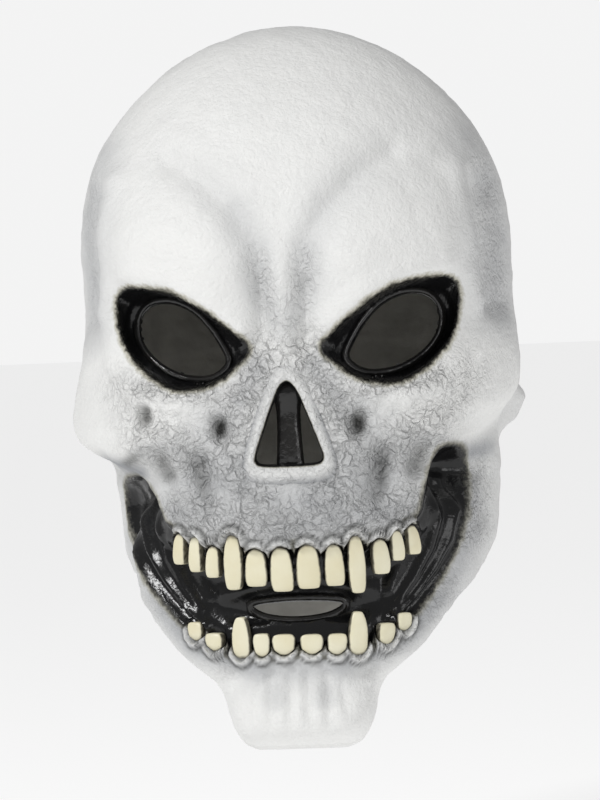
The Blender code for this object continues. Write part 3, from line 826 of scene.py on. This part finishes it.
def washShadeAndWrinkle(spots):
    # where the grey lies (partly airbrushed wash, partly painted shade in the hollows, under the
    # cheekbones and toward the back) and where the leathery creases lie
    across = np.abs(spots[..., 0])
    depth = spots[..., 1]
    height = spots[..., 2]
    seen = np.stack([across, height], -1)
    greyLines = [
        ([(2, 176), (9, 186), (11, 206)], 8, 0.36), ([(11, 206), (19, 222)], 9, 0.28),
        ([(19, 222), (32, 235)], 11, 0.18), ([(32, 235), (48, 246)], 12, 0.1),
        ([(6, 102), (36, 110)], 26, 0.52), ([(26, 136), (34, 126)], 13, 0.4),
        ([(0, 92), (48, 98)], 13, 0.5), ([(12, 156), (20, 143)], 7, 0.42),
        ([(70, 104), (72, 84), (60, 60)], 9, 0.55), ([(48, 126), (60, 124)], 7, 0.42),
        ([(16, 34), (44, 44), (58, 58)], 7, 0.7), ([(0, 34), (20, 34)], 7, 0.55),
        ([(88, 230), (90, 178)], 14, 0.6), ([(80, 248), (88, 230)], 13, 0.35),
        ([(52, 144), (68, 153)], 5, 0.25), ([(80, 118), (64, 115)], 4.5, 0.9),
        ([(10, 26), (10, 18)], 6, 0.3)]
    washAndShade = np.zeros(across.shape)
    for line, radius, amount in greyLines:
        away, _ = lineDistance(seen, line)
        washAndShade = np.maximum(washAndShade, amount * np.exp(-(away / radius) ** 2))
    # the lines' grey fades toward the back, where a flat grey takes over: painted shade on the
    # turned-away sides
    washAndShade = washAndShade * smoothStep(2, -46, depth) + 0.2 * smoothStep(-50, 0, depth) + 0.03
    # less grey on the cheekbones and the chin, where light falls: painted highlight
    pale = strokeLift(seen, [([(62, 138), (80, 142)], 15, 12, 0.5), ([(0, 10), (20, 8)], 7, 7, 0.5)])
    washAndShade = np.clip(washAndShade - pale * smoothStep(0, -30, depth), 0, 1)
    creaseLines = [
        ([(8, 160), (24, 130), (16, 104)], 16, 1.0), ([(0, 92), (46, 98)], 14, 0.95),
        ([(36, 118), (58, 130)], 17, 0.9), ([(70, 150), (60, 128)], 14, 0.7),
        ([(3, 172), (10, 200)], 9, 0.6), ([(74, 108), (72, 84)], 10, 0.7),
        ([(30, 36), (60, 62)], 10, 0.5), ([(30, 147), (62, 150)], 7, 0.95),
        ([(84, 235), (86, 180)], 10, 0.5)]
    wrinkle = np.full(across.shape, 0.2)
    for line, radius, amount in creaseLines:
        away, _ = lineDistance(seen, line)
        near = amount * np.exp(-(away / radius) ** 2) * smoothStep(-4, -30, depth)
        wrinkle = np.maximum(wrinkle, near)
    # dark spots in the pits and dents: partly dark airbrush, partly painted shade
    pits = [([(28.4, 133.6), (28.5, 131)], 2.7, 1.0), ([(53, 120), (51, 114)], 3.4, 0.5),
            ([(38, 117), (36.5, 107)], 3.2, 0.45), ([(65, 121), (69, 119)], 2.2, 0.6)]
    pit = np.zeros(across.shape)
    for line, radius, amount in pits:
        away, _ = lineDistance(seen, line)
        pit = np.maximum(pit, amount * np.exp(-(away / radius) ** 2) * (depth < -40))
    away, _ = lineDistance(spots[..., [0, 2]], cheekDent)
    pit = np.maximum(pit, 0.8 * np.exp(-(away / 2.6) ** 2) * (depth < -40))
    return washAndShade, wrinkle, pit


def rollHem(spots, hem):
    # the chin edge rolls back and under, and the jaw's hem turns in
    above = spots[..., 2] - hem
    turn = np.clip(above / 12, 0, 1) * math.pi / 2
    chin = smoothStep(26, 10, hem)
    spots[..., 1] += 11 * (1 - np.sin(turn)) * chin
    spots[..., 2] += (12 * (1 - np.cos(turn)) - np.clip(above, 0, 12)) * chin
    view = spots[..., [0, 2]]
    toHem, _ = lineDistance(view, view[0, ::4])
    toHem = np.where(spots[..., 2] < 75, toHem, 9)
    spots[..., 1] += 2.4 * np.clip(1 - toHem / 4.5, 0, 1) ** 2 * (1 - chin)


def gridFaces(hollow):
    # squares between the grid's points, none that touches a hole, and triangles at the crown
    rows, columns = hollow.shape
    faces = []
    for row in range(rows - 1):
        for column in range(columns - 1):
            corners = [(row, column), (row, column + 1), (row + 1, column + 1), (row + 1, column)]
            if any(hollow[corner] for corner in corners):
                continue
            if row == rows - 2:
                corners = corners[:3]
            faces.append([r * columns + c for r, c in corners])
    return faces


def frontSkin():
    count = skinBuild["columns"]
    rows = skinBuild["rows"]
    half = unevenSteps(count // 2 + 1, [(0.35, 0.3, 0.9)])
    share = np.concatenate([-half[:0:-1], half])
    climb = unevenSteps(rows, skinBuild["rowPacking"])
    hemAngles = np.radians([angle for angle, height in hemLine])
    hemHeights = np.array([height for angle, height in hemLine], float)
    hem = np.interp(np.abs(share) * math.radians(87), hemAngles, hemHeights)
    crown = len(stations) - 1.0
    angles = np.zeros((rows, len(share)))
    levels = np.zeros((rows, len(share)))
    for row, part in enumerate(climb):
        level = levelAt(hem) + (crown - levelAt(hem)) * part
        height = smoothRow(stations[:, 0], level)
        drop = np.maximum(hinge["z"] - height, 0)
        limit = math.radians(90) - drop * 0.0021
        angles[row] = share * limit
        levels[row] = level
    spots, data = skinSurface(angles, levels)
    washAndShade, wrinkle, pit = washShadeAndWrinkle(spots)
    rough = wrinkleNoise(spots, 9.0, 4, 1)
    normal = baseNormal(angles, levels)
    deep = np.maximum(data["mouthEdge"], data["socketEdge"])
    calm = 1 - 0.75 * smoothStep(-1, 3, deep)
    spots = spots + normal * (rough * skinBuild["wrinkleDepth"] * (0.3 + wrinkle) * calm)[..., None]
    rollHem(spots, hem)
    away, _ = lineDistance(spots[..., [0, 2]], cheekDent)
    dent = 2.6 * np.exp(-(away / 2.8) ** 2) * (spots[..., 1] < -30)
    spots = spots - normal * dent[..., None]
    # the painted shadow line beyond each gum collar goes in with the dark pits; the collars
    # themselves carry less grey
    pit = np.maximum(pit, 0.75 * data["gumDark"])
    washAndShade = washAndShade * (1 - 0.8 * data["gumCrest"])
    openings = (holeLoop, holeLoop * np.array([-1, 1]), noseHoleLoop, slitLoop)
    for loop in openings:
        snapToLoop(spots, grown(loop, 2.1), 0.9)
    view = spots[..., [0, 2]]
    ahead = spots[..., 1] < -20
    hollow = np.zeros(view.shape[:-1], bool)
    for loop in openings:
        hollow |= (insideDistance(view, grown(loop, 2.1)) > 0.02) & ahead
    piece = meshPiece("latexFrontSkin", spots.reshape(-1, 3), gridFaces(hollow), skinPaint)
    paintAttributes(piece, data, washAndShade, wrinkle, pit)
    finishSkin(piece)
    return piece


def finishSkin(piece):
    tool = bmesh.new()
    tool.from_mesh(piece.data)
    loose = [spot for spot in tool.verts if not spot.link_faces]
    bmesh.ops.delete(tool, geom=loose, context="VERTS")
    bmesh.ops.remove_doubles(tool, verts=tool.verts, dist=0.00002)
    bmesh.ops.recalc_face_normals(tool, faces=tool.faces)
    outwardness = sum(face.normal.dot(face.calc_center_median() - Vector((0, 0, -0.12)))
                      for face in tool.faces)
    if outwardness < 0:
        bmesh.ops.reverse_faces(tool, faces=tool.faces)
    tool.to_mesh(piece.data)
    tool.free()
    piece.data.materials.append(insidePaint)
    wall = piece.modifiers.new("wall", "SOLIDIFY")
    wall.thickness = skinBuild["thickness"]
    wall.offset = -1
    wall.material_offset = 1
    wall.material_offset_rim = 0
    applyModifiers(piece)
    bpy.ops.object.shade_smooth_by_angle(angle=math.radians(50))


backBuild = {
    "columns": 96,
    "tuck": 3.4,           # how far the edge behind the jaw corner tucks under, millimetres
    # hem: share of the way from the seam to the nape, height
    "hem": [(0, 79), (0.05, 88), (0.1, 90), (0.2, 88), (0.34, 66), (0.5, 44), (1, 38)],
}


def backSkin():
    count = backBuild["columns"]
    rows = skinBuild["rows"]
    crown = len(stations) - 1.0
    share = np.linspace(0, 1, count)
    side = np.minimum(share, 1 - share) * 2
    hemSides = [share for share, height in backBuild["hem"]]
    hemHeights = [height for share, height in backBuild["hem"]]
    hem = np.interp(side, hemSides, hemHeights)
    angles = np.zeros((rows, count))
    levels = np.zeros((rows, count))
    climb = unevenSteps(rows, skinBuild["rowPacking"])
    for row, part in enumerate(climb):
        level = levelAt(hem) + (crown - levelAt(hem)) * part
        height = smoothRow(stations[:, 0], level)
        under = 0.16 * smoothStep(124, 112, height)
        angles[row] = math.pi / 2 - under + (math.pi + 2 * under) * share
        levels[row] = level
    spots, data = skinSurface(angles, levels, False)
    normal = baseNormal(angles, levels)
    tuck = smoothStep(14, 3, spots[..., 1]) * smoothStep(126, 112, spots[..., 2])
    rough = wrinkleNoise(spots, 7.0, 4, 1)
    washAndShade, wrinkle, pit = washShadeAndWrinkle(spots)
    lift = rough * skinBuild["wrinkleDepth"] * (0.35 + wrinkle) - backBuild["tuck"] * tuck
    spots = spots + normal * lift[..., None]
    whole = np.zeros((rows, count), bool)
    piece = meshPiece("latexBackSkin", spots.reshape(-1, 3), gridFaces(whole), skinPaint)
    paintAttributes(piece, data, washAndShade, wrinkle, pit)
    finishSkin(piece)
    return piece


def tubeAlong(name, loops, material):
    # closed ring: each loop is one line running round, joined to the next
    count = len(loops[0])
    spots = np.concatenate(loops)
    faces = []
    for index in range(len(loops)):
        following = (index + 1) % len(loops)
        for step in range(count):
            beside = (step + 1) % count
            faces.append([index * count + step, index * count + beside,
                          following * count + beside, following * count + step])
    piece = meshPiece(name, spots, faces, material)
    outwardFaces(piece)
    return piece


def outwardFaces(piece):
    tool = bmesh.new()
    tool.from_mesh(piece.data)
    bmesh.ops.recalc_face_normals(tool, faces=tool.faces)
    tool.to_mesh(piece.data)
    tool.free()


eyeBead = {
    "outer": 3.4,          # width of the bead, millimetres
    "rise": 2.9,
    "sides": 14,
    "waviness": 0.25,
}


def eyeRim(name, side):
    # a glossy bead round the eye hole, with a soft inner lip
    loops = []
    for step in range(eyeBead["sides"]):
        turn = 2 * math.pi * step / eyeBead["sides"]
        away = eyeBead["outer"] / 2 * (1 - math.cos(turn)) - 0.2
        path = grown(holeLoop, away)
        rise = eyeBead["rise"] * math.sin(turn)
        rise = rise if rise > 0 else rise * 1.2
        wave = eyeBead["waviness"] * np.sin(np.arange(len(path)) * 0.43)
        spots = np.stack([side * path[:, 0], eyePlane(path[:, 0]) - rise + wave, path[:, 1]], -1)
        loops.append(spots)
    return tubeAlong(name, loops, blackPaint)


noseRimLook = {
    "wrinkle": 0.6,
    "unevenness": 0.7,     # millimetres
    "paintStart": 0.92,    # share of the way from the outer edge to the hole
    # share of the way in to the hole, depth below the skin
    "profile": [(0.0, 1.4), (0.1, -0.3), (0.3, -1.5), (0.52, -2.5), (0.72, -2.7), (0.88, -1.9),
                (0.98, -0.2), (1.03, 1.9), (0.98, 4.2), (0.5, 4.6), (0.05, 3.6)],
}


def noseRim():
    # a soft raised edge that runs into the skin outside and turns in at the hole
    outer = grown(noseOuterLoop, 0.2)
    baseOuter = surfaceY(outer[:, 0], outer[:, 1])
    baseInner = surfaceY(noseHoleLoop[:, 0], noseHoleLoop[:, 1])
    loops = []
    edges = []
    greys = []
    for share, sink in noseRimLook["profile"]:
        path = outer * (1 - share) + noseHoleLoop * share
        depth = baseOuter * (1 - share) + baseInner * share + sink
        bumps = np.array([noise.noise(Vector((x * 0.2, z * 0.2, share * 2))) for x, z in path])
        loops.append(np.stack([path[:, 0], depth + bumps * noseRimLook["unevenness"],
                               path[:, 1]], -1))
        paint = (share - noseRimLook["paintStart"]) * 30 + max(0, sink - 1.5) * 3
        edges.append(np.full(len(path), paint))
        # grey on the rim meets the skin's grey, partly painted shade: greyer at its outer edge and
        # lower down
        lower = np.clip((154 - path[:, 1]) / 20, 0.3, 1)
        greys.append(0.12 + 0.8 * max(0, 0.45 - share) / 0.45 * lower)
    piece = tubeAlong("noseRim", loops, skinPaint)
    addAttribute(piece, "paintEdge", np.minimum(np.concatenate(edges), 6))
    addAttribute(piece, "washAndShade", np.concatenate(greys))
    addAttribute(piece, "wrinkle", np.full(len(piece.data.vertices), noseRimLook["wrinkle"]))
    addAttribute(piece, "pit", np.zeros(len(piece.data.vertices)))
    return piece


septumLook = {
    "sides": 14,
    "setBack": 4.6,        # millimetres behind the skin
    # height, half width, front and back of each ring
    "rings": [(157, 2.5, 2.0, 4.4), (154, 5.6, 0.4, 4.4), (150.5, 7.2, -1.6, 4.6),
              (147, 7.2, -2.6, 4.6), (143.5, 6.2, -2.2, 4.6), (140.5, 5.2, -0.8, 4.2),
              (136, 5.0, -0.3, 4.0), (128, 5.2, -0.6, 4.0), (121, 5.5, -0.7, 4.0),
              (116, 6.0, -0.4, 4.0), (111, 7.2, 0.8, 4.0)],
}


def noseSeptum():
    # a strap with a bulb at its top, across the nose hole
    back = float(surfaceY(0, 140)) + septumLook["setBack"]
    rows = septumLook["rings"]
    sides = septumLook["sides"]
    spots = []
    faces = []
    for height, half, near, far in rows:
        for step in range(sides):
            turn = 2 * math.pi * step / sides
            across = half * math.copysign(abs(math.cos(turn)) ** 0.85, math.cos(turn))
            middle = (near + far) / 2
            depth = middle - (far - near) / 2 * math.copysign(abs(math.sin(turn)) ** 0.95,
                                                              math.sin(turn))
            wobble = 0.3 * noise.noise(Vector((across * 0.5, height * 0.3, depth)))
            spots.append((across + wobble, back + depth + (150 - height) * -0.05 + wobble, height))
    for row in range(len(rows) - 1):
        for step in range(sides):
            beside = (step + 1) % sides
            faces.append([row * sides + step, row * sides + beside,
                          row * sides + sides + beside, row * sides + sides + step])
    faces.append(list(range(sides)))
    faces.append(list(range((len(rows) - 1) * sides, len(rows) * sides)))
    piece = meshPiece("noseSeptum", spots, faces, blackPaint)
    outwardFaces(piece)
    smooth = piece.modifiers.new("smooth", "SUBSURF")
    smooth.levels = 2
    smooth.render_levels = 2
    applyModifiers(piece)
    return piece


toothLook = {
    "thickness": 6.0,
    "atRoot": 0.5,         # how far it stands out of the skin
    "atTip": 2.4,
    # share of the way from root to tip, share of the full width
    "plain": [(0, 0.72), (0.2, 0.95), (0.6, 1.1), (0.9, 1.1), (1, 0.97)],
    "upperCanine": [(0, 0.66), (0.2, 0.92), (0.5, 1.1), (0.8, 1.05), (1, 0.84)],
    "lowerCanine": [(0, 0.9), (0.25, 1.08), (0.55, 1.08), (0.8, 0.9), (1, 0.6)],
}


def makeTooth(name, across, root, tip, width, canine):
    # a block with an arched root end, narrowed and rounded toward its tip
    bpy.ops.object.select_all(action="DESELECT")
    bpy.ops.mesh.primitive_cube_add(size=2)
    piece = bpy.context.object
    piece.name = name
    bpy.ops.object.mode_set(mode="EDIT")
    bpy.ops.mesh.select_all(action="SELECT")
    bpy.ops.mesh.subdivide(number_cuts=5)
    bpy.ops.object.mode_set(mode="OBJECT")
    tall = abs(root - tip)
    away = 1 if tip > root else -1
    middle = (root + tip) / 2
    edge = 0.5
    slope = float(surfaceY(across + edge, middle) - surfaceY(across - edge, middle))
    turn = math.atan(slope)
    atRoot = float(surfaceY(across, root))
    atTip = float(surfaceY(across, tip))
    seed = across * 0.37 + root
    lean = 0.7 * noise.noise(Vector((seed, 0, 0)))
    kind = "plain"
    if canine:
        kind = "upperCanine" if away < 0 else "lowerCanine"
    shares, widths = zip(*toothLook[kind])
    stains = []
    for spot in piece.data.vertices:
        x, y, z = spot.co
        along = (z + 1) / 2              # 0 at the root, 1 at the tip
        wide = x * width / 2 * float(np.interp(along, shares, widths))
        arch = 0.22 * width * x * x * max(0.0, 1 - along * 3)
        corner = (0.10 if canine else 0.05) * width * x ** 4 * max(0.0, along * 4 - 3)
        upward = root + away * (tall * along + arch - corner)
        proud = toothLook["atRoot"] + (toothLook["atTip"] - toothLook["atRoot"]) * along ** 0.7
        reach = atRoot + (atTip - atRoot) * along
        soft = 0.5 * x ** 4 + 0.7 * max(0.0, along * 3 - 2) ** 2 + 0.5 * max(0.0, 1 - along * 4)
        backSide = toothLook["thickness"] * (0.8 - 0.3 * along)
        deep = (-proud + soft) * (1 - y) / 2 + backSide * (1 + y) / 2
        wide += lean * along + 0.22 * noise.noise(Vector((x * 1.3 + seed, z * 1.5, y)))
        wide *= 1 - 0.1 * (1 + y)
        deep += 0.22 * noise.noise(Vector((x + seed, z * 1.3, 5)))
        sideways = wide * math.cos(turn) - deep * math.sin(turn) + across
        depth = wide * math.sin(turn) + deep * math.cos(turn) + reach
        spot.co = place((sideways, depth, upward))
        stains.append(max(0.9 * abs(x) ** 12, max(0.0, 1 - along * 5), (1 + y) / 2))
    addAttribute(piece, "stain", stains)
    smooth = piece.modifiers.new("smooth", "SUBSURF")
    smooth.levels = 2
    smooth.render_levels = 2
    applyModifiers(piece)
    for polygon in piece.data.polygons:
        polygon.use_smooth = True
    outwardFaces(piece)
    piece.data.materials.append(toothPaint)
    return piece


lipLook = {
    "upperLip": 0.35,      # how much thicker it is above the slit
    # distance out from the slit's edge, depth below the lining
    "profile": [(-0.2, 0.8), (-0.3, -0.7), (0.5, -1.9), (1.7, -2.2), (2.9, -1.1), (3.6, 0.5),
                (2.4, 1.8), (0.8, 1.9)],
}


def mouthLip():
    # the thick glossy lip round the breathing slit
    def bed(path):
        spots = []
        for x, z in path:
            spots.append(liningDepth(x, z))
        return np.array(spots)

    loops = []
    centre = bed(slitLoop)
    for away, sink in lipLook["profile"]:
        path = grown(slitLoop, away)
        upper = np.clip((path[:, 1] - 57.3) / 4, -0.35, 1)
        thick = 0.75 + lipLook["upperLip"] * upper
        loops.append(np.stack([path[:, 0], centre + sink * thick, path[:, 1]], -1))
    return tubeAlong("mouthLip", loops, blackPaint)


def liningDepth(across, height):
    # depth of the sunk lining under a front-view point
    bare = float(surfaceY(across, height))
    inside = float(insideDistance(np.array([[across, height]]), mouthLoop)[0])
    return bare + float(mouthSink(inside))


skinFront = frontSkin()
print("front skin built")
skinBack = backSkin()
print("back skin built")
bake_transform(skinFront)
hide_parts("face_skin", "jaw_skin", "eye_cup_left", "eye_cup_right",
            "mouth_lining_upper", "mouth_lining_lower")
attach(skinBack, "skull")
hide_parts("back_skin")

for word, side in (("left", 1), ("right", -1)):
    rim = eyeRim("eyeRim" + word.capitalize(), side)
    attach(rim, "skull")
    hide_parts("eye_rim_" + word)
rim = noseRim()
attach(rim, "skull")
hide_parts("nose_rim")
septum = noseSeptum()
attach(septum, "skull")
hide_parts("nose_septum")
lip = mouthLip()
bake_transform(lip)
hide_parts("mouth_lip")
for jawWord, body, teeth in (("upper", "skull", upperTeeth), ("lower", "jaw", lowerTeeth)):
    for number, (x, root, tip, width) in enumerate(teeth, 1):
        canine = abs(root - tip) > (20 if jawWord == "upper" else 15)
        tooth = makeTooth("%sTooth%02d" % (jawWord, number), x, root, tip, width, canine)
        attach(tooth, body)
        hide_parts("%s_tooth_%02d" % (jawWord, number))
print("teeth built")

# floor, lights and camera

stageLook = {"floorZ": -0.37, "floorSize": 30.0, "floorGlow": 0.70, "backdrop": 0.9, "ambient": 0.31}
bpy.ops.mesh.primitive_plane_add(size=stageLook["floorSize"], location=(0, 0, stageLook["floorZ"]))
floor = bpy.context.object
floor.name = "floor"
floorPaint = bpy.data.materials.new("floorPaint")
floorPaint.use_nodes = True
floorShader = floorPaint.node_tree.nodes["Principled BSDF"]
floorShader.inputs["Base Color"].default_value = (0.4, 0.4, 0.4, 1)
floorShader.inputs["Roughness"].default_value = 0.8
floorShader.inputs["Emission Color"].default_value = (1, 1, 1, 1)
floorShader.inputs["Emission Strength"].default_value = stageLook["floorGlow"]
floor.data.materials.append(floorPaint)
floor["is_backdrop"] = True

# white backdrop, and a dimmer surround that leaves the lights to shape the mask
world = bpy.data.worlds.new("studio")
world.use_nodes = True
makeWorld = nodeMaker(world.node_tree)
backdrop = world.node_tree.nodes["Background"]
backdrop.inputs["Color"].default_value = (1, 1, 1, 1)
lightPath = makeWorld("ShaderNodeLightPath")
glow = makeWorld("ShaderNodeMapRange")
glow.inputs["To Min"].default_value = stageLook["ambient"]
glow.inputs["To Max"].default_value = stageLook["backdrop"]
linkAll(world.node_tree, [
    (lightPath.outputs["Is Camera Ray"], glow.inputs["Value"]),
    (glow.outputs[0], backdrop.inputs["Strength"])])
bpy.context.scene.world = world
bpy.context.scene.view_settings.view_transform = "Standard"


def areaLight(name, spot, aim, size, power):
    lamp = bpy.data.lights.new(name, "AREA")
    lamp.energy = power
    lamp.size = size
    thing = bpy.data.objects.new(name, lamp)
    bpy.context.collection.objects.link(thing)
    thing.location = spot
    thing.rotation_euler = (Vector(aim) - Vector(spot)).to_track_quat("-Z", "Y").to_euler()
    thing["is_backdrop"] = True


areaLight("keyLight", (-1.0, -1.05, 1.15), (0, 0, -0.12), 0.45, 18)
areaLight("fillLight", (1.2, -1.5, 0.35), (0, 0, -0.12), 0.8, 5)

shot = {"azimuth": 3.5, "elevation": 1.5, "distance": 1.8, "roll": -2.4, "focal": 197,
        "aimX": 0.0045, "aimZ": -0.1557}
aim = Vector((shot["aimX"], -0.09, shot["aimZ"]))
azimuth = math.radians(shot["azimuth"])
elevation = math.radians(shot["elevation"])
offset = Vector((math.sin(azimuth) * math.cos(elevation), -math.cos(azimuth) * math.cos(elevation),
                 math.sin(elevation)))
camera = bpy.data.cameras.new("camera")
camera.lens = shot["focal"]
camera.sensor_width = 36
viewer = bpy.data.objects.new("camera", camera)
bpy.context.collection.objects.link(viewer)
viewer.location = aim + offset * shot["distance"]
viewer.rotation_mode = "QUATERNION"
facing = (-offset).to_track_quat("-Z", "Y")
viewer.rotation_quaternion = facing @ Quaternion((0, 0, 1), math.radians(shot["roll"]))
bpy.context.scene.camera = viewer

shown = [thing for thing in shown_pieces()]
low = [1e9] * 3
high = [-1e9] * 3
bpy.context.view_layer.update()
for thing in shown:
    for corner in thing.bound_box:
        spot = thing.matrix_world @ Vector(corner)
        low = [min(a, b) for a, b in zip(low, spot)]
        high = [max(a, b) for a, b in zip(high, spot)]
print("scene ready")
